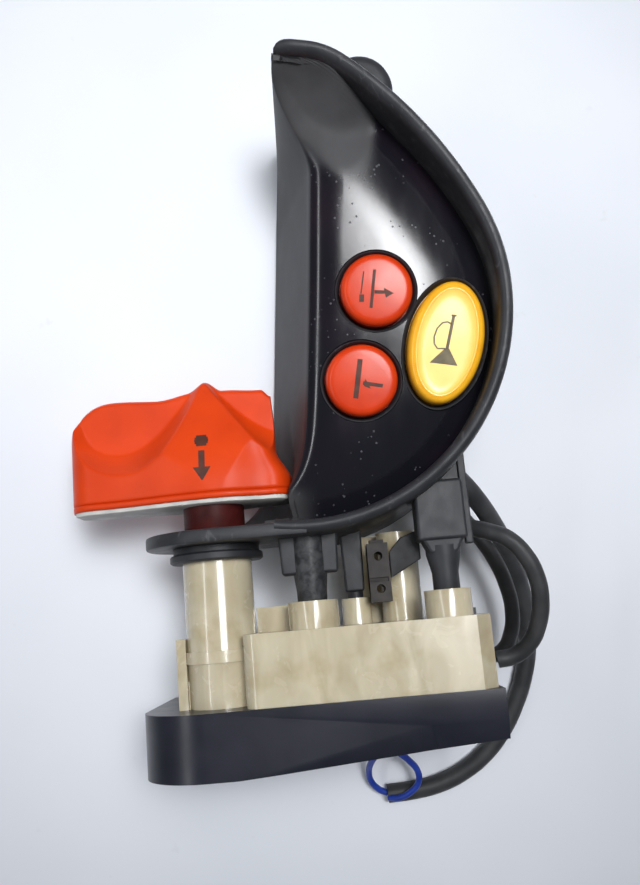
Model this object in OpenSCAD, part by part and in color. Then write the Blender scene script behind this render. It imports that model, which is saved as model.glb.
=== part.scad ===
// Control head of a walk-along truck's steering arm, lying on its back.
// A wing knob on a tilted shaft sets speed and direction; three push buttons sit in a D-shaped hood.
// Two frames are used. "Floor" places parts that stand square to the table, such as the buttons.
// "Shaft" has +Y along the knob's shaft and its origin on the shaft's axis at the base's underside.

/* [Shaft and stack] */
// Tilt of the shaft from level, knob end low
shaft_tilt = 11; // [10:0.5:12]
// Height of the shaft's axis over the table at the base's underside
shaft_z0 = 52; // [51.5:0.1:53]
// Radius of the steel shaft
shaft_r = 5; // [4.5:0.1:5.5]
// Top of the black base along the shaft
base_top = 18.5; // [18:0.5:19]
// Top of the cream housing box along the shaft
housing_top = 39; // [38:0.5:40]
// Top of the bearing tower, where the collar starts
tower_top = 61.4; // [61:0.1:62]
// Underside of the hood's tab
tab_bottom = 66; // [65.8:0.1:66.2]
// Thickness of the hood's tab
tab_t = 4; // [3.5:0.5:4.5]

/* [Base and housing] */
// Radius of the base's round end
base_r = 20.5; // [20:0.5:21]
// Shift of the base's round end to the left of the shaft
base_shift = 3.5; // [3:0.1:4]
// Right end of the base
base_right = 80.5; // [80:0.5:82]
// Wall thickness of the base
base_wall = 3; // [2.5:0.5:3.5]
// Left side of the housing box
housing_left = 8; // [7.5:0.5:8.5]
// Right side of the housing box
housing_right = 79.5; // [79:0.5:80]
// Front of the housing box
housing_front = 19.5; // [19:0.5:20]
// Back of the housing box
housing_back = -41.5; // [-42:0.5:-41]
// Wall thickness of the housing
housing_wall = 2.5; // [2:0.5:3]
// Radius of the bearing tower
tower_r = 10.6; // [10.4:0.1:10.8]
// Radius of the two left-hand screw bosses
boss_r = 7.5; // [7.2:0.1:7.8]
// Height of the screw bosses over the housing
boss_h = 8; // [7:0.5:8]

/* [Hood] */
// Height of the hood's front lip over the table
hood_h = 60; // [59:0.5:60]
// Height of the hood's button face over the table
face_z = 50; // [49.5:0.5:50]
// Thickness of the button face
face_t = 3.5; // [3:0.5:4]
// Thickness of the hood's walls
hood_wall = 3; // [2.5:0.5:3.5]
// Width of the raised front lip
lip_w = 4.3; // [4:0.1:4.6]
// Radius of the hood's lower arc
arc_low_r = 64; // [63.8:0.1:64.2]
// Radius of the hood's nearly straight upper side
arc_high_r = 130; // [128:1:132]

/* [Buttons] */
// Radius of the two round caps
cap_r = 10.75; // [10.5:0.05:11]
// Half the short width of the oval cap
oval_a = 11.2; // [11:0.1:11.4]
// Half the long width of the oval cap
oval_b = 18.5; // [18:0.1:18.8]
// Lean of the oval cap's long axis
oval_lean = 16; // [14:1:18]
// Travel of each cap
cap_travel = 2.5; // [2:0.1:2.5]

/* [Knob] */
// Reach of the knob's left wing from the shaft
wing_left = 43.6; // [42.6:0.1:43.8]
// Reach of the knob's right wing from the shaft
wing_right = 25; // [24:0.5:25]
// Half the knob's depth at its shoulders
knob_half = 13.5; // [13:0.5:14]
// Underside of the knob along the shaft
knob_bottom = 78.4; // [78:0.1:78.6]
// Height of the knob's centre ridge
knob_h = 40.6; // [39.6:0.1:40.8]

/* [Cords] */
// Diameter of the button lead
button_lead_d = 5.4; // [5:0.1:5.6]
// Diameter of the main lead
main_lead_d = 6.4; // [6:0.1:6.6]
// Diameter of the inner strand
strand_d = 5; // [4.6:0.1:5.2]
// Diameter of the two thin wires
wire_d = 2.2; // [2:0.1:2.4]

/* [Hidden] */
// The outline's middle goes over the origin
home_x = 25.4;
home_y = 101.4;
eps = 0.01;
fit = 0.05;
side_tuck = 0.05;
$fn = 64;

cap_top = 54.5;
lift_at = [55.6, 138];
lower_at = [48.9, 111.7];
horn_at = [74.8, 120.7];

arc_low_at = [30.5, 130];
arc_side_at = [36.5, 130];
arc_side_r = 58;
arc_top_r = 25;
turn_side = 26;
turn_high = 52;
left_foot = 21;
left_lean = 5.2;
left_slant = 16.6;
left_slant_y = 112;

boss_left = [28.7, 7];
boss_right = [68.9, 8];
boss_rear = [42, -10];
post_pin_y = housing_top + 2;
stem_r = 9.4;
knob_room_r = 26.3;
gear_m = 1;
drive_n = 28;
sensor_n = 14;
gear_y = 9.5;
gear_w = 4;
gear_gap = gear_m * (drive_n + sensor_n) / 2;
plate_y = 5.5;
plate_t = 2.5;
room_top = base_top - 2;
base_bolt_centre = [34, -14];
board_y = base_top + 3;
switch_top = 33;
plunger_top = switch_top + cap_travel + 0.5;
carrier_z = 20.4;

button_route = [[66, 74, 28], [69.5, 69.5, 30], [74, 66, 33], [79, 64, 36.5], [84.5, 62.5, 40], [90, 60, 42.5],
    [94.7, 54.5, 43.5], [97.4, 48, 43.5], [98.2, 40.5, 43], [97, 33, 42], [94, 27, 41], [89.5, 23.5, 40], [84, 22.5, 39.5]];
main_route = [[75.5, 82, 30], [79.2, 77.8, 30], [83.8, 72, 27], [88.4, 65.2, 22], [93, 57, 16], [97, 48, 10],
    [100.2, 38.5, 5.5], [101.6, 28, 3.5], [101.3, 17, 3.3], [99, 6.4, 3.3], [95, -3.3, 3.3], [90, -11.7, 3.3],
    [83.5, -19, 3.3], [75.3, -24.8, 3.3], [66, -28.5, 3.3], [57, -30, 3.3], [48, -30.5, 3.3]];
strand_route = [[71.5, 77, 20], [75.5, 72, 19.8], [80.3, 65.4, 19.6], [85, 58.5, 19.6], [89.4, 50.8, 19.8],
    [92.6, 42, 19.6], [94, 33, 19], [93, 25, 18], [89.5, 19.5, 18], [84, 18, 18]];
wire_long = [[47.9, -30.2, 3.4], [45, -28.5, 3.8], [42.5, -25, 5], [42, -20.5, 7.5], [43, -16, 11.5], [45, -12, 15.5],
    [46.2, -9.2, 18.6], [46.5, -6.8, 21]];
wire_short = [[48.2, -31, 5.6], [51.5, -30.6, 7.6], [55.5, -28.5, 9], [58.5, -25, 10], [58.5, -20.5, 11.5],
    [55.5, -15.5, 14], [52, -11.3, 17], [50.6, -9, 19], [50.5, -6.8, 21]];

// ---- Frames and shared shapes ----

module on_floor() {
    translate([-home_x, -home_y, 0]) children();
}

module tilt_to_shaft() {
    translate([0, 0, shaft_z0]) rotate([-shaft_tilt, 0, 0]) children();
}

module on_shaft() {
    on_floor() tilt_to_shaft() children();
}

// A round bar along the shaft's direction, at [x, z]
module bar(y, h, r, at = [0, 0]) {
    translate([at[0], y, at[1]]) rotate([-90, 0, 0]) cylinder(h = h, r = r);
}

// A ring along the shaft's direction, at [x, z]
module ring(y, h, r_out, r_in, at = [0, 0]) {
    difference() {
        bar(y, h, r_out, at);
        bar(y - 1, h + 2, r_in, at);
    }
}

// An [x, z] outline raised along the shaft's direction
module raise(y, h) {
    translate([0, y + h, 0]) rotate([90, 0, 0]) linear_extrude(h) children();
}

module box(low, high) {
    translate(low) cube(high - low);
}

// A round-headed machine screw along +Z, head at the bottom
module screw(len, r, head_r, head_h) {
    difference() {
        union() {
            cylinder(h = head_h, r = head_r);
            cylinder(h = head_h + len, r = r);
        }
        translate([0, 0, -eps]) cylinder(h = head_h * 0.5, r = head_r * 0.45, $fn = 6);
    }
}

function unit(v) = v / norm(v);
function tangent(p, i) = unit(p[min(i + 1, len(p) - 1)] - p[max(i - 1, 0)]);
function side(t) = unit(cross(t, [0, 0, 1]));

// A round tube swept along points
module tube(points, d, sides) {
    n = len(points);
    verts = [for (i = [0 : n - 1], k = [0 : sides - 1])
        let (t = tangent(points, i), a = side(t), b = cross(a, t), w = 360 * k / sides)
        points[i] + (a * cos(w) + b * sin(w)) * d / 2];
    skin = [for (i = [0 : n - 2], k = [0 : sides - 1], half = [0, 1])
        let (m = (k + 1) % sides, here = i * sides, next = here + sides)
        half == 0 ? [here + k, here + m, next + m] : [here + k, next + m, next + k]];
    start = [for (k = [0 : sides - 1]) sides - 1 - k];
    finish = [for (k = [0 : sides - 1]) (n - 1) * sides + k];
    polyhedron(verts, concat([start], skin, [finish]), convexity = 8);
}

function coil(r, z0, z1, turns, per = 12) = [for (i = [0 : turns * per])
    [r * cos(360 * i / per), r * sin(360 * i / per), z0 + (z1 - z0) * i / (turns * per)]];

// ---- Base ----

module base_plan() {
    translate([-base_shift, 0]) circle(r = base_r);
    translate([side_tuck - base_r - base_shift, -56]) square([base_r, 56]);
    translate([-base_shift, -56]) square([base_right + base_shift, base_r + 56]);
}

// Everything above the table
module above_floor() {
    intersection() {
        children();
        rotate([shaft_tilt, 0, 0]) translate([-100, -100, -shaft_z0]) cube([300, 300, 200]);
    }
}

module base_shell() {
    color("#1c1e26") on_shaft() above_floor() difference() {
        union() {
            difference() {
                raise(0, base_top) base_plan();
                // the underside rises to the right
                translate([5, 0, 0]) rotate([0, 0, 3.6]) box([-40, -30, -80], [110, 0, 60]);
                // undercut along the lower front
                translate([18, 1, base_r]) rotate([0, 0, 13]) rotate([20, 0, 0]) box([0, -20, 0], [42, 9, 20]);
                translate([56, 10.2, base_r]) rotate([20, 0, 0]) box([0, -20, 0], [40, 9, 20]);
                // gear room, closed by the base plate
                raise(-1, room_top + 1) room_plan();
            }
            for (at = base_screw_at()) bar(plate_y + plate_t, room_top - plate_y - plate_t + eps, 3.4, at);
        }
        bar(0, 40, shaft_r + 1.2);
        bar(0, 40, 2, [gear_gap, 0]);
        // window over the sensor magnet
        box([gear_gap + 5, base_top - 4, -4], [gear_gap + 14, base_top + 1, 4]);
        for (at = base_screw_at()) bar(plate_y - 1, 9.5, 1.55, at);
    }
}

// Inside outline of the gear room, also the base plate's
module room_plan(inset = 0) {
    circle(r = base_r - base_wall - inset);
    translate([side_tuck - base_r + base_wall + inset, -36 + inset]) square([94 - 2 * inset, 36 - inset]);
    translate([0, -1]) square([94 + side_tuck - base_r + base_wall - inset, 13 - inset]);
}

function base_screw_at() = [[-12, -30], [72, -30], [72, 6]];
function base_bolt_at() = [for (w = [45 : 90 : 315]) base_bolt_centre + 16 * [cos(w), sin(w)]];

module base_plate() {
    color("#7d828a") on_shaft() difference() {
        raise(plate_y, plate_t) room_plan(0.2);
        bar(0, 20, 7, base_bolt_centre);
        for (at = base_bolt_at()) bar(0, 20, 2.6, at);
        for (at = base_screw_at()) bar(0, 20, 1.75, at);
    }
}

module base_plate_screws() {
    color("#a8acb2") on_shaft() for (at = base_screw_at())
        translate([at[0], plate_y - 1.8, at[1]]) rotate([-90, 0, 0]) screw(8, 1.5, 2.9, 1.8);
}

module wire_socket() {
    color("#22242a") on_shaft() difference() {
        box([42.5, -0.5, -35], [54.5, plate_y, -29]);
        for (x = [46.5, 50.5]) bar(-1, 0.6, wire_d / 2 + 0.3, [x, -32]);
    }
}

// ---- Housing ----

module housing_plan(inset = 0) {
    difference() {
        translate([housing_left + inset, housing_back - eps])
            square([housing_right - housing_left - 2 * inset, housing_front - housing_back - inset]);
        translate([housing_right - 4.5, housing_front - inset]) rotate(-42) square([20, 12]);
        if (inset == 0)
            translate([housing_left - eps, housing_front - 4]) square([4, 5]);
    }
    if (inset == 0)
        translate([housing_left + 4, housing_front - 4]) circle(r = 4);
}

module screw_boss(at, r) {
    bar(housing_top - 1, boss_h + 1, r, at);
}

module mech_housing() {
    color("#cdbf9c") on_shaft() difference() {
        union() {
            difference() {
                raise(base_top, housing_top - base_top) housing_plan();
                raise(base_top - 1, housing_top - base_top - housing_wall + 1) housing_plan(housing_wall);
            }
            bar(base_top, tower_top - base_top, tower_r);
            bar(31.5, 3.5, tower_r + 0.7);
            box([0, base_top, -8], [housing_left + 3, 36, 8]);
            box([-13.2, base_top, -9], [-10.4, housing_top, 5]);
            box([-11, base_top, -3], [-5, base_top + 8, 3]);
            box([11, housing_top - 1, -9], [22.5, 46.5, -2]);
            bar(housing_top - 12, 12, boss_r, boss_left);
            bar(housing_top - 12, 12, boss_r - 0.5, boss_right);
            screw_boss(boss_left, boss_r);
            screw_boss(boss_right, boss_r - 0.5);
            screw_boss(boss_rear, 4.6);
            // curved inner wall and the column behind it
            bar(housing_top - 1, 29, 6.5, [57, -16]);
            box([44, housing_top - 1, -25], [57, 67, -22]);
        }
        bar(0, 80, 8.02);
        bar(31, 50, 3.9, [57, -16]);
        bar(post_pin_y - 1, 20, 4.7, boss_left);
        bar(post_pin_y - 1, 20, 4.2, boss_right);
        bar(post_pin_y - 1, 20, 2.7, boss_rear);
        bar(20, 40, 2.1, boss_left);
        bar(20, 40, 2.1, boss_right);
        box([housing_right - 4, 20.8, -12.4], [housing_right + 1, 26.4, -6.8]);
        box([housing_right - 4, 21, -34], [housing_right + 1, 26, -29]);
    }
}

module housing_back_cover() {
    color("#c4b591") on_shaft() difference() {
        box([housing_left, base_top + 0.3, housing_back - 2.5], [housing_right, housing_top - 1, housing_back - 0.02]);
        for (at = back_screw_at()) translate([at[0], at[1], -60]) cylinder(h = 40, r = 1.6);
    }
}

function back_screw_at() = [for (x = [12, 75.5], y = [23, 34]) [x, y]];

module back_cover_screws() {
    color("#a8acb2") on_shaft() for (at = back_screw_at())
        translate([at[0], at[1], housing_back - 3.8]) screw(2.5, 1.5, 2.6, 1.2);
}

module hood_screws() {
    color("#a8acb2") on_shaft() for (at = [boss_left, boss_right])
        translate([at[0], 24.8, at[1]]) rotate([-90, 0, 0]) screw(24, 2, 4, 2.2);
}

module lower_bush() {
    color("#b08d57") on_shaft() ring(20, 9, 8, shaft_r + fit);
}

module upper_bush() {
    color("#b08d57") on_shaft() ring(50, 10, 8, shaft_r + fit);
}

module shaft_collar() {
    color("#23242a") on_shaft() difference() {
        union() {
            bar(tower_top, 2.6, 14.3);
            bar(tower_top + 2, tab_bottom - tower_top - 2, 13.2);
        }
        bar(0, 100, stem_r + 0.4);
    }
}

module centring_spring() {
    color("#8f949c") on_shaft() {
        for (y = [15, 16])
            translate([0, y, 0]) rotate([90, 0, 0]) rotate_extrude() translate([8.4, 0]) circle(r = 0.45, $fn = 16);
        bar(14.9, room_top - 14.9, 0.45, [-8.4, 0]);
    }
}

module gear_pin() {
    color("#b9bcc2") on_shaft() bar(plate_y + plate_t + 0.3, base_top - plate_y - plate_t - 0.3, 2, [gear_gap, 0]);
}

module sensor_board() {
    color("#2c5a3c") on_shaft() difference() {
        box([housing_left + 7, board_y, -36], [60, board_y + 1.6, -4]);
        for (at = board_screw_at()) bar(0, 60, 1.6, at);
    }
}

function board_screw_at() = [[19, -32], [56, -32]];

module board_screws() {
    color("#a8acb2") on_shaft() for (at = board_screw_at())
        translate([at[0], board_y + 3.2, at[1]]) rotate([90, 0, 0]) screw(3, 1.5, 2.6, 1.6);
}

module hall_sensor() {
    color("#1b1b1d") on_shaft() box([gear_gap + 6, board_y - 1.6, -9], [gear_gap + 12, board_y, -4.5]);
}

module terminal_block() {
    color("#2f6f4a") on_shaft() difference() {
        box([30, board_y + 1.6, -30], [52, board_y + 10, -21]);
        for (x = [34 : 5 : 49]) bar(board_y + 4, 10, 1.7, [x, -25.5]);
    }
}

module direction_switch() {
    color("#6f5f58") on_shaft() difference() {
        union() {
            box([46.5, 45, -9], [53, 63, 1]);
            box([47.5, 63, -6], [52, 64.2, -2]);
        }
        for (y = [49, 59]) translate([49.8, y, -20]) cylinder(h = 40, r = 1.3);
        box([46, 51.2, 0.2], [52.3, 52.4, 2]);
    }
}

module switch_ribbon() {
    color("#26272b") on_shaft() linear_extrude(1.6) polygon([[53.2, 52], [62.8, 57], [62.8, 66], [57, 64], [53.2, 60]]);
}

module side_strip() {
    color("#5a4038") on_shaft() box([housing_right, 28.4, -26], [housing_right + 1.6, 38, -4]);
}

module cable_clip() {
    color("#1f2024") on_shaft() difference() {
        union() {
            box([72, housing_top, -10], [78, housing_top + 2, 0]);
            bar(housing_top + 1, 5, 3, [75, -5]);
        }
        translate([69, housing_top + 3.6, -6.2]) cube([12, 4, 2.4]);
    }
}

module cord_grommet(y, z, r) {
    translate([housing_right, y, z]) rotate([0, 90, 0]) difference() {
        union() {
            cylinder(h = 1.8, r = r + 1.6);
            cylinder(h = 3.6, r = r + 0.8);
        }
        translate([0, 0, -1]) cylinder(h = 3, r = r - 0.6);
    }
}

module lead_grommet() {
    color("#24252a") on_shaft() cord_grommet(23.6, -9.4, button_lead_d / 2);
}

module strand_grommet() {
    color("#24252a") on_shaft() cord_grommet(23.5, -31, strand_d / 2);
}

// ---- Hood ----

function heading(w) = [cos(w), sin(w)];

// Points from one heading to another about a centre
function arc(at, r, from, to, n) = [for (i = [0 : n]) at + r * heading(from + (to - from) * i / n)];

// The D-shaped outline, in the shaft's frame
module hood_plan(inset = 0) {
    high_at = arc_side_at + (arc_side_r - arc_high_r) * heading(turn_side);
    top_at = high_at + (arc_high_r - arc_top_r) * heading(turn_high);
    intersection() {
        polygon(concat([[15, 66 + inset]], arc(arc_low_at, arc_low_r - inset, -100, 0, 20),
            arc(arc_side_at, arc_side_r - inset, 4, turn_side, 5),
            arc(high_at, arc_high_r - inset, 30, turn_high, 5),
            arc(top_at, arc_top_r - inset, 57, 80, 5), [[15, 210 - inset]]));
        polygon([[left_foot + inset, 60], [left_foot + inset, left_slant_y], [29 + inset, 200], [31 + inset, 215],
            [110, 215], [110, 60]]);
    }
}

// The hood's outline as a solid between two heights over the table
module hood_slab(low, high, inset = 0) {
    intersection() {
        tilt_to_shaft() translate([0, 0, -70]) linear_extrude(120) hood_plan(inset);
        box([-20, 0, low], [140, 260, high]);
    }
}

// What lies left of the slanting side wall
module left_of_wall(inset = 0) {
    translate([left_foot + inset, left_slant_y, 8]) rotate([0, 0, -left_lean]) rotate([0, left_slant, 0])
        box([-80, -70, -20], [0, 76, 90]);
}

module face_hole(at, r) {
    translate([at[0], at[1], face_z - face_t - 1]) cylinder(h = 20, r = r);
}

function oval(a, b) = [for (w = [0 : 7.5 : 352.5]) [a * cos(w), b * sin(w)]];

// An oval prism in the oval button's place
module oval_prism(z, h, grow = 0) {
    translate([horn_at[0], horn_at[1], z]) rotate([0, 0, -oval_lean])
        linear_extrude(h) polygon(oval(oval_a + grow, oval_b + grow));
}

module hood_posts() {
    box([19.7, 55, 4], [37.7, tab_bottom + 2, 10]);
    bar(post_pin_y, 16, 4.5, boss_left);
    box([61.4, 57, 3], [76.4, 87, 13]);
    box([76.4, 60, 6], [78.4, 88, 9]);
    bar(post_pin_y, 18, 4, boss_right);
    box([38.5, 49, -14], [45.5, tab_bottom + 3, -6]);
    bar(post_pin_y, 10, 2.5, boss_rear);
}

module hood_shell() {
    color("#17181d") on_floor() difference() {
        union() {
            difference() {
                hood_slab(2.5, hood_h);
                left_of_wall();
                // room for the knob to turn
                tilt_to_shaft() bar(72, 50, knob_room_r);
            }
            tilt_to_shaft() bar(tab_bottom, tab_t, 21.5);
            tilt_to_shaft() box([0, tab_bottom, -21.5], [30, tab_bottom + tab_t, 21]);
            translate([56.3, 201.5, 24]) cylinder(h = 28, r = 10.5);
            tilt_to_shaft() hood_posts();
        }
        // room for the buttons' faces, open to the left
        difference() {
            hood_slab(face_z, hood_h + 5, lip_w);
            box([0, 185, 0], [40, 260, 100]);
        }
        difference() {
            hood_slab(-5, face_z - face_t, hood_wall);
            left_of_wall(hood_wall);
            tilt_to_shaft() bar(60, 64, knob_room_r + hood_wall);
            for (at = cover_screw_at()) translate([at[0], at[1], 0]) cylinder(h = at[2], r = 3.5);
        }
        for (at = cover_screw_at()) translate([at[0], at[1], 0]) cylinder(h = 12, r = 1.75);
        tilt_to_shaft() bar(0, 120, stem_r + 0.3);
        face_hole(lift_at, cap_r + 1.7);
        face_hole(lower_at, cap_r + 1.7);
        oval_prism(face_z - face_t - 1, 20, 1.7);
        tilt_to_shaft() bar(0, 55, 2.05, boss_left);
        tilt_to_shaft() bar(0, 55, 2.05, boss_right);
        hood_exit(button_route, button_lead_d / 2 + 1);
        hood_exit(main_route, main_lead_d / 2 + 1);
        hood_exit(strand_route, strand_d / 2 + 1);
    }
}

// A round hole through the hood's wall, in line with a cord's first stretch
module hood_exit(route, r) {
    d = unit(route[1] - route[0]);
    translate(route[0]) rotate([0, 0, atan2(d[1], d[0])]) rotate([0, 90, 0])
        translate([0, 0, -7]) cylinder(h = 8.5, r = r);
}

module hood_grommets() {
    color("#26272b") on_floor() for (g = [[button_route, button_lead_d], [main_route, main_lead_d],
            [strand_route, strand_d]]) {
        d = unit(g[0][1] - g[0][0]);
        translate(g[0][0]) rotate([0, 0, atan2(d[1], d[0])]) rotate([0, 90, 0]) difference() {
            translate([0, 0, -6]) cylinder(h = 6, r = g[1] / 2 + 0.9);
            translate([0, 0, -7]) cylinder(h = 6, r = g[1] / 2 - 0.5);
        }
    }
}

module hood_back_cover() {
    color("#1d1e23") on_floor() difference() {
        hood_slab(0, 2.5, 0);
        for (at = cover_screw_at()) translate([at[0], at[1], -1]) cylinder(h = 10, r = 1.8);
        for (at = cover_screw_at()) translate([at[0], at[1], -1]) cylinder(h = 2.2, r = 3.4);
    }
}

// Each cover screw's place and the height of its boss
function cover_screw_at() = [[40, 185, face_z], [88.5, 128, 24], [31, 69, face_z]];

module hood_cover_screws() {
    color("#a8acb2") on_floor() for (at = cover_screw_at())
        translate([at[0], at[1], 0]) screw(8, 1.7, 3.2, 1.2);
}

module button_carrier() {
    color("#2c5a3c") on_floor() difference() {
        union() {
            intersection() {
                box([40, 95, carrier_z], [84, 150, carrier_z + 1.6]);
                hood_slab(0, hood_h, hood_wall + 1.5);
            }
            for (at = carrier_screw_at())
                translate([at[0], at[1], carrier_z]) cylinder(h = face_z - face_t - carrier_z, r = 2.8);
        }
        for (at = carrier_screw_at()) translate([at[0], at[1], 0]) cylinder(h = 32, r = 1.3);
    }
}

function carrier_screw_at() = [[44, 147], [82, 146], [58, 98]];

module carrier_screws() {
    color("#a8acb2") on_floor() for (at = carrier_screw_at())
        translate([at[0], at[1], carrier_z - 1.4]) screw(8, 1.25, 2.4, 1.4);
}

// ---- Buttons ----

module round_bezel(at) {
    color("#0f1013") on_floor() translate([at[0], at[1], 0]) difference() {
        translate([0, 0, face_z - face_t]) cylinder(h = face_t + 1.6, r = cap_r + 1.65);
        translate([0, 0, face_z - face_t - 1]) cylinder(h = 20, r = cap_r + 0.2);
    }
}

module lift_bezel() {
    difference() {
        round_bezel(lift_at);
        on_floor() oval_prism(face_z - face_t - 1, 20, 1.7);
    }
}

module lower_bezel() {
    round_bezel(lower_at);
}

module horn_bezel() {
    color("#0f1013") on_floor() difference() {
        oval_prism(face_z - face_t, face_t + 1.6, 1.65);
        oval_prism(face_z - face_t - 1, 20, 0.2);
    }
}

module cap_stem(at) {
    translate([at[0], at[1], plunger_top + 0.1]) cylinder(h = 10, r = 2.5);
}

module round_cap(at) {
    color("#cf3b14") on_floor() difference() {
        union() {
            translate([at[0], at[1], 44.6]) cylinder(h = cap_top - 46.1, r = cap_r);
            translate([at[0], at[1], 44.6]) cylinder(h = cap_top - 44.6, r = cap_r - 1.5);
            translate([at[0], at[1], 44.6]) cylinder(h = 1.4, r = cap_r + 1.1);
            cap_stem(at);
        }
        translate([at[0], at[1], 44]) difference() {
            cylinder(h = 8.4, r = cap_r - 2.2);
            cylinder(h = 8.4, r = 5.6);
        }
    }
}

module lift_cap() {
    round_cap(lift_at);
}

module lower_cap() {
    round_cap(lower_at);
}

module horn_cap() {
    color("#e8b52a") on_floor() {
        oval_prism(44.6, cap_top - 46.1);
        oval_prism(46, cap_top - 46, -1.5);
        oval_prism(44.6, 1.4, 1.1);
        cap_stem(horn_at);
    }
}

module switch_body(at) {
    color("#202226") on_floor() difference() {
        translate([at[0], at[1], (switch_top + carrier_z + 1.6) / 2])
            cube([13, 7, switch_top - carrier_z - 1.6], center = true);
        translate([at[0], at[1], switch_top - 4]) cylinder(h = 6, r = 1.3);
        for (x = [-4.4, 4.4])
            translate([at[0] + x, at[1], switch_top - 6]) rotate([90, 0, 0]) cylinder(h = 20, r = 1, center = true);
    }
}

module lift_switch() {
    switch_body(lift_at);
}

module lower_switch() {
    switch_body(lower_at);
}

module horn_switch() {
    switch_body(horn_at);
}

module plunger(at) {
    color("#d8d4c8") on_floor() translate([at[0], at[1], switch_top - 0.6])
        cylinder(h = plunger_top - switch_top + 0.6, r = 1.25);
}

module lift_plunger() {
    plunger(lift_at);
}

module lower_plunger() {
    plunger(lower_at);
}

module horn_plunger() {
    plunger(horn_at);
}

module cap_spring(at) {
    color("#9da2a9") on_floor() translate([at[0], at[1], 0])
        tube(coil(4.2, switch_top + 0.4, 44.1, 5), 0.7, 8);
}

module lift_spring() {
    cap_spring(lift_at);
}

module lower_spring() {
    cap_spring(lower_at);
}

module horn_spring() {
    cap_spring(horn_at);
}

// ---- Knob, shaft and gears ----

// The knob seen along the shaft, [x, z]
module knob_plan(inset = 0) {
    r_left = 8 - inset;
    r_mid = knob_half - inset;
    r_right = 6 - inset;
    hull() {
        translate([-wing_left + 8, 0]) circle(r = r_left, $fn = 32);
        circle(r = r_mid, $fn = 48);
        for (z = [-1, 1]) translate([wing_right - 6, z * 4.5]) circle(r = r_right, $fn = 32);
    }
}

// The knob seen from the front, [x, y]
module knob_front() {
    polygon([[-wing_left - 1, 76], [-wing_left - 1, 102.5], [-wing_left + 2, 109.8], [-wing_left + 8, 113.8],
        [-25, 115.3], [-12, 115.8], [-6, 117.6], [-2, knob_bottom + knob_h], [1, knob_bottom + knob_h],
        [8, 116.4], [20, 114.8], [21.5, 112.8], [22.5, 99.8], [wing_right, 92.4], [wing_right + 1, 88.4],
        [wing_right + 1, 76]]);
}

module wing_knob() {
    color("#cf3b14") on_shaft() difference() {
        intersection() {
            raise(knob_bottom + 1.4, knob_h) knob_plan();
            translate([0, 0, -30]) linear_extrude(60) knob_front();
        }
        // thumb scoops in both faces of each wing
        for (z = [-1, 1]) {
            translate([-26, 108, z * 25]) sphere(r = 19);
            translate([22, 112, z * 21]) sphere(r = 14);
        }
        bar(70, 38.05, shaft_r + 0.02);
    }
}

module knob_underplate() {
    color("#bfc0bf") on_shaft() difference() {
        raise(knob_bottom, 1.4) knob_plan(1.2);
        bar(70, 10, stem_r + 0.02);
    }
}

module knob_stem() {
    color("#571d1b") on_shaft() difference() {
        bar(tower_top + 1.2, knob_bottom + 1.38 - tower_top - 1.2, stem_r);
        bar(50, 40, shaft_r + 0.02);
        translate([-20, 68.5, 0]) rotate([0, 90, 0]) cylinder(h = 40, r = 1.52);
    }
}

module knob_shaft() {
    color("#c3c6cb") on_shaft() difference() {
        bar(plate_y + plate_t + 0.4, 108 - plate_y - plate_t - 0.4, shaft_r);
        translate([-20, 68.5, 0]) rotate([0, 90, 0]) cylinder(h = 40, r = 1.52);
    }
}

module knob_dowel() {
    color("#8f949c") on_shaft() translate([-stem_r + 0.2, 68.5, 0]) rotate([0, 90, 0])
        cylinder(h = 2 * stem_r - 0.4, r = 1.5);
}

// A spur gear's outline with n teeth and some backlash
function gear_points(n) = [for (i = [0 : n - 1], k = [0 : 3])
    let (r = gear_m * (n / 2 + (k == 0 || k == 3 ? -1.1 : 0.75)), w = [-0.27, -0.11, 0.11, 0.27][k])
    [r * cos(360 * (i + w) / n), r * sin(360 * (i + w) / n)]];

module drive_gear() {
    color("#d9d6cc") on_shaft() difference() {
        union() {
            raise(gear_y, gear_w) polygon(gear_points(drive_n));
            bar(gear_y, gear_w + 0.8, 7.2);
        }
        bar(0, 30, shaft_r + 0.02);
    }
}

module shaft_circlip() {
    color("#6d7178") on_shaft() difference() {
        ring(gear_y - 0.9, 0.85, 7, shaft_r + 0.02);
        box([-2, 0, 3], [2, 20, 9]);
    }
}

module sensor_gear() {
    color("#e4e1d8") on_shaft() difference() {
        union() {
            translate([gear_gap, 0, 0]) raise(gear_y, gear_w) rotate(180 / sensor_n) polygon(gear_points(sensor_n));
            bar(gear_y - 0.6, 2, 3.6, [gear_gap, 0]);
        }
        bar(0, 30, 2 + fit, [gear_gap, 0]);
    }
}

module sensor_magnet() {
    color("#4b4e55") on_shaft() ring(gear_y + gear_w, 1.8, 4.4, 2 + 2 * fit, [gear_gap, 0]);
}

// ---- Cords ----

module button_lead() {
    color("#2a2c2e") on_floor() tube(button_route, button_lead_d, 10);
}

module main_lead() {
    color("#2a2c2e") on_floor() tube(main_route, main_lead_d, 10);
}

module strand_lead() {
    color("#2f3133") on_floor() tube(strand_route, strand_d, 10);
}

module blue_wire_long() {
    color("#1d3f9e") on_floor() tube(wire_long, wire_d, 8);
}

module blue_wire_short() {
    color("#1d3f9e") on_floor() tube(wire_short, wire_d, 8);
}

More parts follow.
